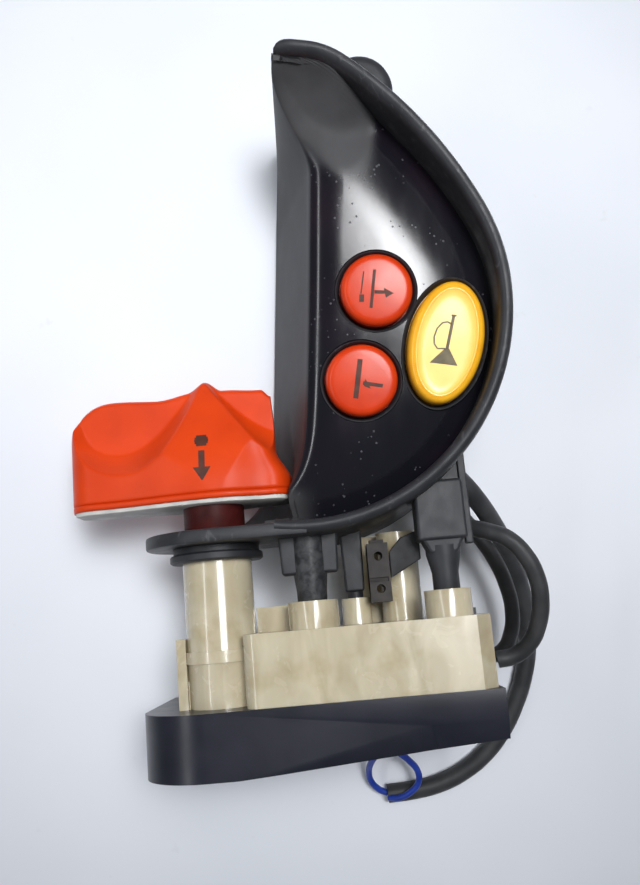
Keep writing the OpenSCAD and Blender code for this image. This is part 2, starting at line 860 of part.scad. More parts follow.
base_shell();
base_plate();
base_plate_screws();
wire_socket();
gear_pin();
mech_housing();
housing_back_cover();
back_cover_screws();
hood_screws();
lower_bush();
upper_bush();
shaft_collar();
centring_spring();
sensor_board();
hall_sensor();
terminal_block();
board_screws();
direction_switch();
switch_ribbon();
side_strip();
cable_clip();
lead_grommet();
strand_grommet();
hood_shell();
hood_back_cover();
hood_cover_screws();
hood_grommets();
button_carrier();
carrier_screws();
lift_bezel();
lower_bezel();
horn_bezel();
lift_switch();
lower_switch();
horn_switch();
lift_spring();
lower_spring();
horn_spring();
wing_knob();
knob_underplate();
knob_stem();
knob_shaft();
knob_dowel();
drive_gear();
shaft_circlip();
sensor_gear();
sensor_magnet();
lift_cap();
lower_cap();
horn_cap();
lift_plunger();
lower_plunger();
horn_plunger();
button_lead();
main_lead();
strand_lead();
blue_wire_long();
blue_wire_short();
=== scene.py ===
"""Studio scene of a truck control head on its back: knob, hood with three buttons, housing and leads."""
import math

import bmesh
import bpy
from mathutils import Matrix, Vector


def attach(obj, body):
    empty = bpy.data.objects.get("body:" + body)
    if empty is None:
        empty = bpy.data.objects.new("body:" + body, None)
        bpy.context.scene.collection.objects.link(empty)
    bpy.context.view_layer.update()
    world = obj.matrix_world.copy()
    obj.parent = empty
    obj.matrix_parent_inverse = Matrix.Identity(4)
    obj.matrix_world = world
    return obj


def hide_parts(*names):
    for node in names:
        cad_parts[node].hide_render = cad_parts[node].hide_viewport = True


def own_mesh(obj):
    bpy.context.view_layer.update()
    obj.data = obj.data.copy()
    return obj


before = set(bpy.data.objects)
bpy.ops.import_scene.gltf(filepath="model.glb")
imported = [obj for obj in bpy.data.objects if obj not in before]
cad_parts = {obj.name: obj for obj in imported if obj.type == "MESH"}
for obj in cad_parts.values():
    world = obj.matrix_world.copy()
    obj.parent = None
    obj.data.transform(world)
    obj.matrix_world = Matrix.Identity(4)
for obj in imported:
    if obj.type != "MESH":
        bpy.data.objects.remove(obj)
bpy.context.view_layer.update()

TILT = math.radians(11)
SIN = math.sin(TILT)
COS = math.cos(TILT)
HOME = (25.4, 101.4)
SHAFT_HEIGHT = 52


# ---- Frames: all sizes are in millimetres until a point is made ----

def floor_point(x, y, z):
    """A point square to the table."""
    return Vector(((x - HOME[0]) / 1000, (y - HOME[1]) / 1000, z / 1000))


def shaft_point(x, y, z):
    """A point in the tilted shaft's frame, with y along the shaft."""
    return floor_point(x, y * COS + z * SIN, SHAFT_HEIGHT - y * SIN + z * COS)


def plan_point(x, y, height):
    """The point over (x, y) of the hood's outline, at a height over the table."""
    return shaft_point(x, y, shaft_depth(y, height))


def shaft_depth(y, height):
    """The shaft frame's z of a point at a height over the table."""
    return (height - SHAFT_HEIGHT + y * SIN) / COS


def smooth(low, high, value):
    t = min(1, max(0, (value - low) / (high - low)))
    return t * t * (3 - 2 * t)


def mix(a, b, t):
    return a + (b - a) * t


def new_object(name, data):
    """An object in the scene."""
    obj = bpy.data.objects.new(name, data)
    bpy.context.scene.collection.objects.link(obj)
    return obj


# ---- Camera ----

camera_data = bpy.data.cameras.new("camera")
camera_data.lens = 36
camera_data.sensor_width = 36
camera = new_object("camera", camera_data)
camera.location = (0.0096, -0.0069, 0.3145)
camera.rotation_euler = (0, 0, math.radians(-5))
bpy.context.scene.camera = camera


# ---- Materials ----

def new_material(name, metallic=0.0, coat=0.0):
    material = bpy.data.materials.new(name)
    material.use_nodes = True
    tree = material.node_tree
    shader = tree.nodes["Principled BSDF"]
    shader.inputs["Metallic"].default_value = metallic
    shader.inputs["Coat Weight"].default_value = coat
    shader.inputs["Coat Roughness"].default_value = 0.08
    return material, tree, shader


def noise(tree, size, detail=4.0, stretch=(1, 1, 1), distortion=0.0):
    """Noise with features of about size millimetres."""
    coords = tree.nodes.new("ShaderNodeTexCoord")
    mapping = tree.nodes.new("ShaderNodeMapping")
    mapping.inputs["Scale"].default_value = stretch
    texture = tree.nodes.new("ShaderNodeTexNoise")
    texture.inputs["Scale"].default_value = 1000 / size
    texture.inputs["Detail"].default_value = detail
    texture.inputs["Distortion"].default_value = distortion
    tree.links.new(coords.outputs["Object"], mapping.inputs["Vector"])
    tree.links.new(mapping.outputs["Vector"], texture.inputs["Vector"])
    return texture.outputs["Fac"]


def specks(tree, size, radius):
    """1 inside small scattered dots, 0 outside."""
    coords = tree.nodes.new("ShaderNodeTexCoord")
    cells = tree.nodes.new("ShaderNodeTexVoronoi")
    cells.inputs["Scale"].default_value = 1000 / size
    tree.links.new(coords.outputs["Object"], cells.inputs["Vector"])
    dots = ramp(tree, cells.outputs["Distance"], [(radius * 0.6, (1, 1, 1)), (radius, (0, 0, 0))])
    patches = ramp(tree, noise(tree, size * 6), [(0.52, (0, 0, 0)), (0.6, (1, 1, 1))])
    return blend(tree, "MULTIPLY", 1.0, dots, patches)


def ramp(tree, value, stops):
    node = tree.nodes.new("ShaderNodeValToRGB")
    elements = node.color_ramp.elements
    while len(elements) < len(stops):
        elements.new(0.5)
    for element, (position, colour) in zip(elements, stops):
        element.position = position
        element.color = (*colour, 1)
    tree.links.new(value, node.inputs["Fac"])
    return node.outputs["Color"]


def blend(tree, how, factor, a, b):
    """A colour mix of two sockets or colours."""
    node = tree.nodes.new("ShaderNodeMix")
    node.data_type = "RGBA"
    node.blend_type = how
    for name, value in (("Factor", factor), ("A", a), ("B", b)):
        socket = next(s for s in node.inputs if s.name == name and (s.type == "RGBA") == (name != "Factor"))
        if isinstance(value, bpy.types.NodeSocket):
            tree.links.new(value, socket)
        else:
            socket.default_value = value if name == "Factor" else (*value, 1)
    return next(s for s in node.outputs if s.type == "RGBA")


def grey(tree, value, low, high):
    """A number that runs between two values with the input."""
    node = tree.nodes.new("ShaderNodeMapRange")
    node.inputs["To Min"].default_value = low
    node.inputs["To Max"].default_value = high
    tree.links.new(value, node.inputs["Value"])
    return node.outputs["Result"]


def bump(tree, shader, height, strength, distance):
    """Bump of distance millimetres."""
    node = tree.nodes.new("ShaderNodeBump")
    node.inputs["Strength"].default_value = strength
    node.inputs["Distance"].default_value = distance / 1000
    tree.links.new(height, node.inputs["Height"])
    tree.links.new(node.outputs["Normal"], shader.inputs["Normal"])


def plastic(name, dark, light, patch=12, rough=(0.3, 0.45), grain=0.6, depth=0.02, metallic=0.0, coat=0.0,
            shine=0.5):
    """Moulded plastic or metal: mottled colour, uneven gloss and a fine grain."""
    material, tree, shader = new_material(name, metallic, coat)
    shader.inputs["Specular IOR Level"].default_value = shine
    mottle = noise(tree, patch, distortion=0.4)
    tree.links.new(ramp(tree, mottle, [(0.35, dark), (0.65, light)]), shader.inputs["Base Color"])
    tree.links.new(grey(tree, noise(tree, patch / 3), *rough), shader.inputs["Roughness"])
    bump(tree, shader, noise(tree, grain, detail=2), 0.5, depth)
    return material


def masked(tree, shader, name, low, high, rough):
    """Mixes two colours and two roughness values by a mask stored on the mesh."""
    mask = tree.nodes.new("ShaderNodeAttribute")
    mask.attribute_name = name
    tree.links.new(blend(tree, "MIX", mask.outputs["Fac"], low, high), shader.inputs["Base Color"])
    uneven = blend(tree, "MIX", mask.outputs["Fac"], rough[0], rough[1])
    tree.links.new(uneven, shader.inputs["Roughness"])


def hood_face_material():
    """Glossy black with dust specks and a faint painted purple reflection mottled in, matte grey where the
    mask says so.
    """
    material, tree, shader = new_material("hood_black_face")
    # Painted reflection: the purple end of this mottle stands in for a dim purple reflection on the face.
    purple_reflection_tint = ramp(tree, noise(tree, 28, detail=2),
                [(0.45, (0.005, 0.005, 0.008)), (0.75, (0.012, 0.006, 0.012))])
    dust = specks(tree, 1.9, 0.2)
    gloss = blend(tree, "MIX", dust, purple_reflection_tint, (0.05, 0.05, 0.06))
    matte = ramp(tree, noise(tree, 9), [(0.35, (0.03, 0.03, 0.032)), (0.65, (0.04, 0.04, 0.043))])
    smear = ramp(tree, noise(tree, 7, stretch=(1, 0.4, 1)),
                 [(0.35, (0.13, 0.13, 0.13)), (0.7, (0.2, 0.2, 0.2))])
    smear = blend(tree, "MIX", dust, smear, (0.6, 0.6, 0.6))
    masked(tree, shader, "matte", gloss, matte, (smear, (0.62, 0.62, 0.62)))
    bump(tree, shader, noise(tree, 1.6, detail=3), 0.25, 0.012)
    return material


def hood_rim_material():
    """Worn black plastic with fine pale scuffs along it."""
    material, tree, shader = new_material("hood_black_rim")
    body = ramp(tree, noise(tree, 10), [(0.35, (0.016, 0.017, 0.02)), (0.65, (0.026, 0.027, 0.031))])
    scratch = ramp(tree, noise(tree, 2.2, detail=8, stretch=(1, 0.35, 1), distortion=1.2),
                   [(0.6, (0, 0, 0)), (0.72, (0.8, 0.8, 0.8))])
    scuffed = blend(tree, "MIX", scratch, body, (0.07, 0.07, 0.075))
    tree.links.new(scuffed, shader.inputs["Base Color"])
    tree.links.new(grey(tree, noise(tree, 3, detail=6), 0.3, 0.62), shader.inputs["Roughness"])
    bump(tree, shader, noise(tree, 0.7, detail=5), 0.6, 0.03)
    return material


def cream_material():
    """Pearly cream nylon with cloudy flow lines and darker grime."""
    material, tree, shader = new_material("cream_nylon", coat=0.6)
    flow = ramp(tree, noise(tree, 17, detail=3, stretch=(1.3, 0.6, 1), distortion=1.4),
                [(0.3, (0.42, 0.36, 0.24)), (0.5, (0.5, 0.44, 0.31)), (0.7, (0.58, 0.52, 0.38))])
    grime = ramp(tree, noise(tree, 11, detail=6), [(0.52, (1, 1, 1)), (0.75, (0.82, 0.77, 0.66))])
    tree.links.new(blend(tree, "MULTIPLY", 1.0, flow, grime), shader.inputs["Base Color"])
    tree.links.new(grey(tree, noise(tree, 6, detail=4, distortion=1), 0.16, 0.34), shader.inputs["Roughness"])
    shader.inputs["Subsurface Weight"].default_value = 0.08
    shader.inputs["Subsurface Scale"].default_value = 0.002
    bump(tree, shader, noise(tree, 5, detail=3, distortion=1.5), 0.35, 0.05)
    return material


def yellow_material():
    """Pale glossy yellow, with deeper amber painted on the rounded rim as its shade."""
    material, tree, shader = new_material("yellow_plastic", coat=0.12)
    pale = ramp(tree, noise(tree, 10), [(0.35, (0.86, 0.56, 0.1)), (0.65, (0.92, 0.63, 0.14))])
    # Painted shade: the deeper amber stands in for the shade on the cap's rounded edge.
    shaded_amber = ramp(tree, noise(tree, 4), [(0.35, (0.78, 0.36, 0.015)), (0.65, (0.85, 0.43, 0.02))])
    masked(tree, shader, "rim", pale, shaded_amber, ((0.3, 0.3, 0.3), (0.24, 0.24, 0.24)))
    bump(tree, shader, noise(tree, 0.9), 0.3, 0.01)
    return material


def cord_material(name, dark, light):
    """Rubbery sheath with dull smears."""
    return plastic(name, dark, light, patch=9, rough=(0.38, 0.62), grain=0.5, depth=0.03)


FACE = hood_face_material()
RIM = hood_rim_material()
HOOD = plastic("hood_black", (0.014, 0.015, 0.018), (0.03, 0.031, 0.035), rough=(0.42, 0.62), grain=0.7,
               depth=0.05)
GRIT = plastic("hood_black_gritty", (0.01, 0.011, 0.013), (0.045, 0.047, 0.05), patch=2.2, rough=(0.35, 0.7),
               grain=1.1, depth=0.25)
BASE = plastic("base_black", (0.006, 0.007, 0.013), (0.013, 0.014, 0.024), patch=22, rough=(0.26, 0.4),
               grain=0.8)
CREAM = cream_material()
RED = plastic("red_plastic", (0.56, 0.04, 0.003), (0.64, 0.05, 0.004), patch=16, rough=(0.34, 0.48),
              grain=0.9, depth=0.012, shine=0.28)
CAP_RED = plastic("cap_red_plastic", (0.52, 0.032, 0.003), (0.6, 0.042, 0.004), patch=9, rough=(0.24, 0.38),
                  grain=0.7, depth=0.01, coat=0.06, shine=0.35)
YELLOW = yellow_material()
STEM = plastic("dark_red", (0.03, 0.004, 0.004), (0.055, 0.008, 0.007), patch=8, rough=(0.4, 0.6),
               shine=0.2)
PALE = plastic("pale_grey", (0.42, 0.41, 0.39), (0.55, 0.54, 0.51), patch=7, rough=(0.45, 0.6))
RUBBER = plastic("black_rubber", (0.01, 0.01, 0.012), (0.024, 0.025, 0.027), patch=6, rough=(0.5, 0.72),
                 depth=0.04)
CORD = cord_material("cord_grey", (0.022, 0.023, 0.025), (0.04, 0.041, 0.043))
BLUE = plastic("blue_wire", (0.008, 0.03, 0.25), (0.014, 0.05, 0.36), patch=5, rough=(0.3, 0.45))
STEEL = plastic("steel", (0.5, 0.51, 0.53), (0.66, 0.67, 0.69), patch=5, rough=(0.2, 0.38), metallic=1.0)
ZINC = plastic("zinc", (0.42, 0.43, 0.45), (0.56, 0.57, 0.58), patch=4, rough=(0.3, 0.5), metallic=1.0)
BRONZE = plastic("bronze", (0.42, 0.27, 0.12), (0.58, 0.38, 0.18), patch=5, rough=(0.25, 0.42), metallic=1.0)
BOARD = plastic("board_green", (0.012, 0.07, 0.03), (0.02, 0.1, 0.045), patch=4, rough=(0.3, 0.45))
SWITCH = plastic("switch_brown", (0.018, 0.015, 0.014), (0.034, 0.028, 0.026), patch=5, rough=(0.5, 0.7))
BROWN = plastic("brown_plastic", (0.075, 0.048, 0.04), (0.11, 0.075, 0.062), patch=6, rough=(0.4, 0.6))
DARK = plastic("dark_plastic", (0.01, 0.011, 0.013), (0.02, 0.021, 0.024), patch=6, rough=(0.4, 0.6))
WHITE = plastic("white_plastic", (0.62, 0.6, 0.53), (0.74, 0.72, 0.66), patch=6, rough=(0.35, 0.5))
MAGNET = plastic("magnet_grey", (0.06, 0.062, 0.068), (0.1, 0.1, 0.11), patch=3, rough=(0.4, 0.6))
PRINT = plastic("print_dark", (0.055, 0.014, 0.008), (0.085, 0.026, 0.014), patch=3, rough=(0.5, 0.65))
HORN_PRINT = plastic("print_grey", (0.11, 0.09, 0.05), (0.17, 0.14, 0.08), patch=3, rough=(0.5, 0.65))

FINISH = {
    "base_shell": BASE, "base_plate": ZINC, "base_plate_screws": STEEL, "wire_socket": DARK,
    "gear_pin": STEEL, "mech_housing": CREAM, "housing_back_cover": CREAM, "back_cover_screws": ZINC,
    "hood_screws": ZINC, "lower_bush": BRONZE, "upper_bush": BRONZE, "shaft_collar": HOOD,
    "centring_spring": STEEL, "sensor_board": BOARD, "hall_sensor": DARK, "terminal_block": BOARD,
    "board_screws": ZINC, "direction_switch": SWITCH, "switch_ribbon": RUBBER, "side_strip": BROWN,
    "cable_clip": DARK, "lead_grommet": RUBBER, "strand_grommet": RUBBER, "hood_shell": HOOD,
    "hood_back_cover": HOOD, "hood_cover_screws": ZINC, "hood_grommets": RUBBER, "button_carrier": BOARD,
    "carrier_screws": ZINC, "lift_bezel": RIM, "lower_bezel": RIM, "horn_bezel": RIM, "lift_switch": DARK,
    "lower_switch": DARK, "horn_switch": DARK, "lift_spring": STEEL, "lower_spring": STEEL,
    "horn_spring": STEEL, "wing_knob": RED, "knob_underplate": PALE, "knob_stem": STEM,
    "knob_shaft": STEEL, "knob_dowel": STEEL, "drive_gear": WHITE, "shaft_circlip": ZINC,
    "sensor_gear": WHITE, "sensor_magnet": MAGNET, "lift_cap": CAP_RED, "lower_cap": CAP_RED,
    "horn_cap": YELLOW, "lift_plunger": WHITE, "lower_plunger": WHITE, "horn_plunger": WHITE,
    "button_lead": CORD, "main_lead": CORD, "strand_lead": CORD, "blue_wire_long": BLUE,
    "blue_wire_short": BLUE,
}
for node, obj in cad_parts.items():
    obj.data.materials.clear()
    obj.data.materials.append(FINISH[node])


# ---- Cords ----

def lead(name, route, diameter, material, exit_point):
    """A round lead along route points given in millimetres over the table."""
    data = bpy.data.curves.new(name, "CURVE")
    data.dimensions = "3D"
    data.bevel_depth = diameter / 2000
    data.bevel_resolution = 6
    data.resolution_u = 8
    data.use_fill_caps = True
    spline = data.splines.new("BEZIER")
    spline.bezier_points.add(len(route) - 1)
    points = [floor_point(*p) for p in route]
    for knot, point in zip(spline.bezier_points, points):
        knot.co = point
        knot.handle_left_type = knot.handle_right_type = "AUTO"
    obj = new_object(name, data)
    data.materials.append(material)
    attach(obj, "control_head")
    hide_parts(name.removesuffix("_sheath"))
    length = sum((b - a).length for a, b in zip(points, points[1:]))
    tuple(exit_point or points[0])


BUTTON_ROUTE = [(66, 74, 28), (69.5, 69.5, 30), (74, 66, 33), (79, 64, 36.5), (84.5, 62.5, 40),
                (90, 60, 42.5), (94.7, 54.5, 43.5), (97.4, 48, 43.5), (98.2, 40.5, 43), (97, 33, 42),
                (94, 27, 41), (89.5, 23.5, 40), (84, 22.5, 39.5)]
MAIN_ROUTE = [(75.5, 82, 30), (79.2, 77.8, 30), (83.8, 72, 27), (88.4, 65.2, 22), (93, 57, 16), (97, 48, 10),
              (100.2, 38.5, 5.5), (101.6, 28, 3.5), (101.3, 17, 3.3), (99, 6.4, 3.3), (95, -3.3, 3.3),
              (90, -11.7, 3.3), (83.5, -19, 3.3), (75.3, -24.8, 3.3), (66, -28.5, 3.3), (57, -30, 3.3),
              (48, -30.5, 3.3)]
STRAND_ROUTE = [(71.5, 77, 20), (75.5, 72, 19.8), (80.3, 65.4, 19.6), (85, 58.5, 19.6), (89.4, 50.8, 19.8),
                (92.6, 42, 19.6), (94, 33, 19), (93, 25, 18), (89.5, 19.5, 18), (84, 18, 18)]
WIRE_LONG = [(47.9, -30.2, 3.4), (45, -28.5, 3.8), (42.5, -25, 5), (42, -20.5, 7.5), (43, -16, 11.5),
             (45, -12, 15.5), (46.2, -9.2, 18.6), (46.5, -6.8, 21)]
WIRE_SHORT = [(48.2, -31, 5.6), (51.5, -30.6, 7.6), (55.5, -28.5, 9), (58.5, -25, 10), (58.5, -20.5, 11.5),
              (55.5, -15.5, 14), (52, -11.3, 17), (50.6, -9, 19), (50.5, -6.8, 21)]

lead("button_lead_sheath", BUTTON_ROUTE, 5.4, CORD, None)
lead("main_lead_sheath", MAIN_ROUTE, 6.4, CORD, None)
lead("strand_lead_sheath", STRAND_ROUTE, 5.0, CORD, None)
lead("blue_wire_long_sheath", WIRE_LONG, 2.2, BLUE, None)
lead("blue_wire_short_sheath", WIRE_SHORT, 2.2, BLUE, None)


# ---- Mesh helpers ----

def add_mesh(name, verts, faces, material, body, sharp=35):
    mesh = bpy.data.meshes.new(name)
    mesh.from_pydata(verts, [], faces)
    work = bmesh.new()
    work.from_mesh(mesh)
    bmesh.ops.remove_doubles(work, verts=work.verts, dist=1e-6)
    bmesh.ops.recalc_face_normals(work, faces=work.faces)
    work.to_mesh(mesh)
    work.free()
    mesh.materials.append(material)
    mesh.shade_smooth()
    mesh.set_sharp_from_angle(angle=math.radians(sharp))
    obj = new_object(name, mesh)
    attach(obj, body)
    return obj


def grid_faces(rows, columns, closed=False):
    """Quads between rows of points, each row closed on itself or open."""
    faces = []
    for i in range(rows - 1):
        for k in range(columns if closed else columns - 1):
            m = (k + 1) % columns
            faces.append((i * columns + k, i * columns + m, (i + 1) * columns + m, (i + 1) * columns + k))
    return faces


def lathe(name, profile, place, material, body, sharp=35, squeeze=None):
    """Turns (radius, height) points round an axis. place makes a point from across, over and height."""
    steps = 72
    verts = []
    for radius, height in profile:
        for k in range(steps):
            w = 2 * math.pi * k / steps
            a, b = squeeze(radius) if squeeze else (radius, radius)
            verts.append(place(a * math.cos(w), b * math.sin(w), height))
    faces = grid_faces(len(profile), steps, closed=True)
    faces.append(tuple(range(steps)))
    last = (len(profile) - 1) * steps
    faces.append(tuple(range(last, last + steps)))
    return add_mesh(name, verts, faces, material, body, sharp)


def sweep(name, sections, material, body):
    """Joins closed sections of equal length into a solid with flat ends."""
    count = len(sections[0])
    verts = [p for section in sections for p in section]
    faces = grid_faces(len(sections), count, closed=True)
    faces.append(tuple(range(count)))
    faces.append(tuple(range(len(verts) - count, len(verts))))
    return add_mesh(name, verts, faces, material, body)


def rounded(obj, width):
    """Rounds the edges of an object by width millimetres."""
    bevel = obj.modifiers.new("rounding", "BEVEL")
    bevel.width = width / 1000
    bevel.segments = 3
    bevel.limit_method = "ANGLE"
    bevel.angle_limit = math.radians(32)
    bevel.harden_normals = True
    return obj


def moulded(node, width):
    """A copy of a CAD node with rounded edges, which stands for it."""
    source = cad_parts[node]
    mesh = source.data.copy()
    work = bmesh.new()
    work.from_mesh(mesh)
    bmesh.ops.remove_doubles(work, verts=work.verts, dist=2e-6)
    bmesh.ops.dissolve_limit(work, angle_limit=math.radians(0.6), verts=work.verts, edges=work.edges)
    work.to_mesh(mesh)
    work.free()
    obj = new_object(node + "_moulding", mesh)
    mesh.shade_smooth()
    mesh.set_sharp_from_angle(angle=math.radians(32))
    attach(obj, "control_head")
    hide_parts(node)
    rounded(obj, width)


def applied(obj):
    """Bakes an object's modifiers into its mesh."""
    graph = bpy.context.evaluated_depsgraph_get()
    mesh = bpy.data.meshes.new_from_object(obj.evaluated_get(graph))
    obj.modifiers.clear()
    obj.data = mesh


def cut(obj, cutters):
    """Cuts solids out of an object and removes them."""
    for cutter in cutters:
        modifier = obj.modifiers.new("cut", "BOOLEAN")
        modifier.object = cutter
        modifier.solver = "EXACT"
        modifier.operation = "DIFFERENCE"
    applied(obj)
    for cutter in cutters:
        bpy.data.objects.remove(cutter)


def cutter(profile, place, squeeze=None):
    """A turned solid that only cuts."""
    return lathe("cutter", profile, place, HOOD, "control_head", squeeze=squeeze)


# ---- Hood ----

ARCS = [((30.5, 130), 64, -100, 0), ((36.5, 130), 58, 0, 26), ((-28.21, 98.44), 130, 26, 52),
        ((36.43, 181.18), 25, 52, 80)]
END_HEADING = math.radians(80)
KNOB_ROOM = 26.5
KNOB_ROOM_SPAN = (71, 123)
LIP_WIDTH = 4.3
LIP_LEFT = 20
WALL_FOOT = 2.6
FACE_THICKNESS = 1.6
TAB_RADIUS = 21.4
TAB_HOLE_RADIUS = 9.7
TAB_LOW = 66
TAB_HIGH = 70
CAP_RADIUS = 10.75
HORN_RADII = (11.2, 18.5)
LIFT_AT = (55.6, 138)
LOWER_AT = (48.9, 111.7)
HORN_AT = (74.8, 120.7)
HORN_LEAN = math.radians(16)
BEZEL_WIDTH = 1.7
MARK_LIFT = 0.03
INK_THICKNESS = 0.06


def rim_stations():
    """Points of the hood's outline, their outward headings, and how far the outside is rounded away."""
    stations = []
    for (cx, cy), radius, start, end in ARCS:
        steps = max(10, round((end - start) * radius / 90))
        for i in range(steps + 1):
            w = math.radians(mix(start, end, i / steps))
            stations.append((cx + radius * math.cos(w), cy + radius * math.sin(w), w, 0))
    last_x, last_y = stations[-1][:2]
    for run, away in ((1.5, 0), (3, 0), (4.6, 0.1), (6, 0.5), (7.2, 1.1), (8.2, 1.9), (9, 3)):
        x = last_x - run * math.sin(END_HEADING)
        y = last_y + run * math.cos(END_HEADING)
        stations.append((x, y, END_HEADING, away))
    return stations


STATIONS = rim_stations()
LIP = [(x - LIP_WIDTH * math.cos(w), y - LIP_WIDTH * math.sin(w)) for x, y, w, away in STATIONS]
LIP = [(x, y) for x, y in LIP if x > LIP_LEFT]


def make_rim():
    """The hood's round wall with its raised, rounded lip."""
    profile = [(0, WALL_FOOT), (0, 30), (0, 57.6), (0.25, 58.8), (0.9, 59.7), (1.8, 60), (2.7, 59.9),
               (3.5, 59.4), (4.05, 58.5), (LIP_WIDTH, 57), (4.35, 50), (LIP_WIDTH, 43), (3, 42),
               (3, WALL_FOOT)]
    sections = []
    for x, y, w, away in STATIONS:
        section = []
        for inset, height in profile:
            r = max(inset, away)
            drop = away * 0.6 * (height > 50)
            section.append(plan_point(x - r * math.cos(w), y - r * math.sin(w), height - drop))
        sections.append(section)
    obj = sweep("hood_rim", sections, RIM, "control_head")
    exits = [(BUTTON_ROUTE, 3.7), (MAIN_ROUTE, 4.2), (STRAND_ROUTE, 3.5)]
    cut(obj, [exit_hole(route, radius) for route, radius in exits])
    obj.data.shade_smooth()
    obj.data.set_sharp_from_angle(angle=math.radians(35))
    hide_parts("hood_shell")


def exit_hole(route, radius):
    """A hole through the wall in line with a lead's first stretch."""
    start, ahead = Vector(route[0]), Vector(route[1])
    along = (ahead - start).normalized()
    along.z = 0
    along.normalize()
    across = Vector((-along.y, along.x, 0))

    def place(a, b, height):
        p = start + along * height + across * a + Vector((0, 0, b))
        return floor_point(*p)

    return cutter([(radius, -8), (radius, 8)], place)


def lip_distance(x, y):
    """How far a point of the plan lies inside the lip's inner edge."""
    return min(math.hypot(x - a, y - b) for a, b in LIP)


def lip_x(y):
    """Where the lip's inner edge is at a y of the plan, a little under the lip."""
    for (xa, ya), (xb, yb) in zip(LIP, LIP[1:]):
        if ya <= y <= yb:
            return mix(xa, xb, (y - ya) / (yb - ya)) + 0.9
    return LIP[0][0] if y < LIP[0][1] else LIP[-1][0]


def scoop_share(x, y):
    """1 at the hood's top left, where the face sweeps up to the lip, and 0 elsewhere."""
    return smooth(163, 193, y) * (1 - smooth(46, 64, x))


def face_rise(x, y):
    """How far the face rises beside the lip at the hood's top left."""
    d = max(0, lip_distance(x, y))
    share = scoop_share(x, y)
    return 11 * share * max(0, 1 - d / (3 + 15 * share)) ** 2


def face_height(x, y):
    """The sunk face: gently domed, falling towards the lip and rising into it."""
    d = max(0, lip_distance(x, y))
    edge = 1 - min(1, d / 26)
    crown = 0.9 * math.exp(-((x - 50) / 34) ** 2 - ((y - 128) / 52) ** 2)
    return 50 + crown - 3.6 * edge ** 2 + face_rise(x, y)


def foot_x(y):
    """The side wall's foot over the table."""
    return 20.8 + 0.1 * (y - 116) - 8 * math.exp((70 - y) / 7)


def clear_x(y, height):
    """How far left the hood may reach beside the turning knob."""
    low, high = KNOB_ROOM_SPAN
    room = KNOB_ROOM ** 2 - shaft_depth(y, height) ** 2
    return math.sqrt(max(0, room)) if low < y < high else 0


def make_face():
    """The glossy face and the slanting matte side wall in one skin, with holes for the buttons."""
    rows, wall_n, turn_n, face_n = 150, 14, 12, 56
    skin, matte = [], []
    for i in range(rows):
        y = mix(LIP[0][1] - 1, LIP[-1][1] + 1, 0.5 - 0.5 * math.cos(math.pi * i / (rows - 1)))
        over = plan_y(y, 50)
        flare = smooth(176, 205, over)
        foot = foot_x(over - 9)
        wall_top = foot + mix(12.5, 1.5, flare)
        end_x = lip_x(y)
        turn_x = min(wall_top + mix(10.5, 3, flare), mix(wall_top, end_x, 0.5))
        turn_z = face_height(turn_x, y)
        wall_z = min(mix(46.5, 54, flare), turn_z - 1)
        knee_x = wall_top + (turn_z - wall_z) * (wall_top - foot) / (wall_z - WALL_FOOT)
        for k in range(wall_n):
            z = mix(WALL_FOOT, wall_z, k / wall_n)
            x = mix(foot, wall_top, k / wall_n)
            skin.append(plan_point(max(clear_x(y, z), x), y, z))
            matte.append(1)
        for k in range(turn_n):
            t = k / turn_n
            x = (1 - t) ** 2 * wall_top + 2 * t * (1 - t) * knee_x + t * t * turn_x
            z = (1 - t) ** 2 * wall_z + 2 * t * (1 - t) * turn_z + t * t * turn_z
            skin.append(plan_point(max(clear_x(y, z), x), y, z))
            on_wall = 1 - smooth(-0.6, 1.6, x - wall_top)
            matte.append(max(on_wall, scoop_matte(x, y), flare_matte(x, over)))
        for k in range(face_n):
            x = mix(turn_x, end_x, k / (face_n - 1))
            z = face_height(x, y)
            skin.append(plan_point(max(clear_x(y, z), x), y, z))
            matte.append(max(scoop_matte(x, y), flare_matte(x, over)))
    columns = wall_n + turn_n + face_n
    mesh = bpy.data.meshes.new("hood_face")
    mesh.from_pydata(skin, [], grid_faces(rows, columns))
    mesh.attributes.new("matte", "FLOAT", "POINT").data.foreach_set("value", matte)
    mesh.materials.append(FACE)
    mesh.shade_smooth()
    obj = new_object("hood_face", mesh)
    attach(obj, "control_head")
    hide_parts("hood_shell")
    thick = obj.modifiers.new("thickness", "SOLIDIFY")
    thick.thickness = FACE_THICKNESS / 1000
    thick.offset = 1 if mesh.polygons[5].normal.z < 0 else -1
    applied(obj)
    bore = [(CAP_RADIUS + BEZEL_WIDTH, 40), (CAP_RADIUS + BEZEL_WIDTH, 60)]
    cut(obj, [
        cutter(bore, lift_place),
        cutter(bore, lower_place),
        cutter(bore, horn_place, squeeze=lambda radius: horn_radii(BEZEL_WIDTH)),
    ])
    obj.data.shade_smooth()
    obj.data.set_sharp_from_angle(angle=math.radians(50))


def plan_y(y, height):
    """The table's y of a point of the plan at a height."""
    return y * COS + shaft_depth(y, height) * SIN


def scoop_matte(x, y):
    """1 where the face sweeps up to the lip."""
    return smooth(24, 17, lip_distance(x, y)) * smooth(0.02, 0.3, scoop_share(x, y))


def flare_matte(x, over):
    """1 where the matte wall runs out to the left over the tab."""
    return smooth(84, 77, over) * smooth(34, 24, x)


def lift_place(across, over, height):
    return floor_point(LIFT_AT[0] + across, LIFT_AT[1] + over, height)


def lower_place(across, over, height):
    return floor_point(LOWER_AT[0] + across, LOWER_AT[1] + over, height)


def horn_place(across, over, height):
    """A point of the leaning oval button."""
    x = across * math.cos(HORN_LEAN) + over * math.sin(HORN_LEAN)
    y = over * math.cos(HORN_LEAN) - across * math.sin(HORN_LEAN)
    return floor_point(HORN_AT[0] + x, HORN_AT[1] + y, height)


def horn_radii(grow):
    return HORN_RADII[0] + grow, HORN_RADII[1] + grow


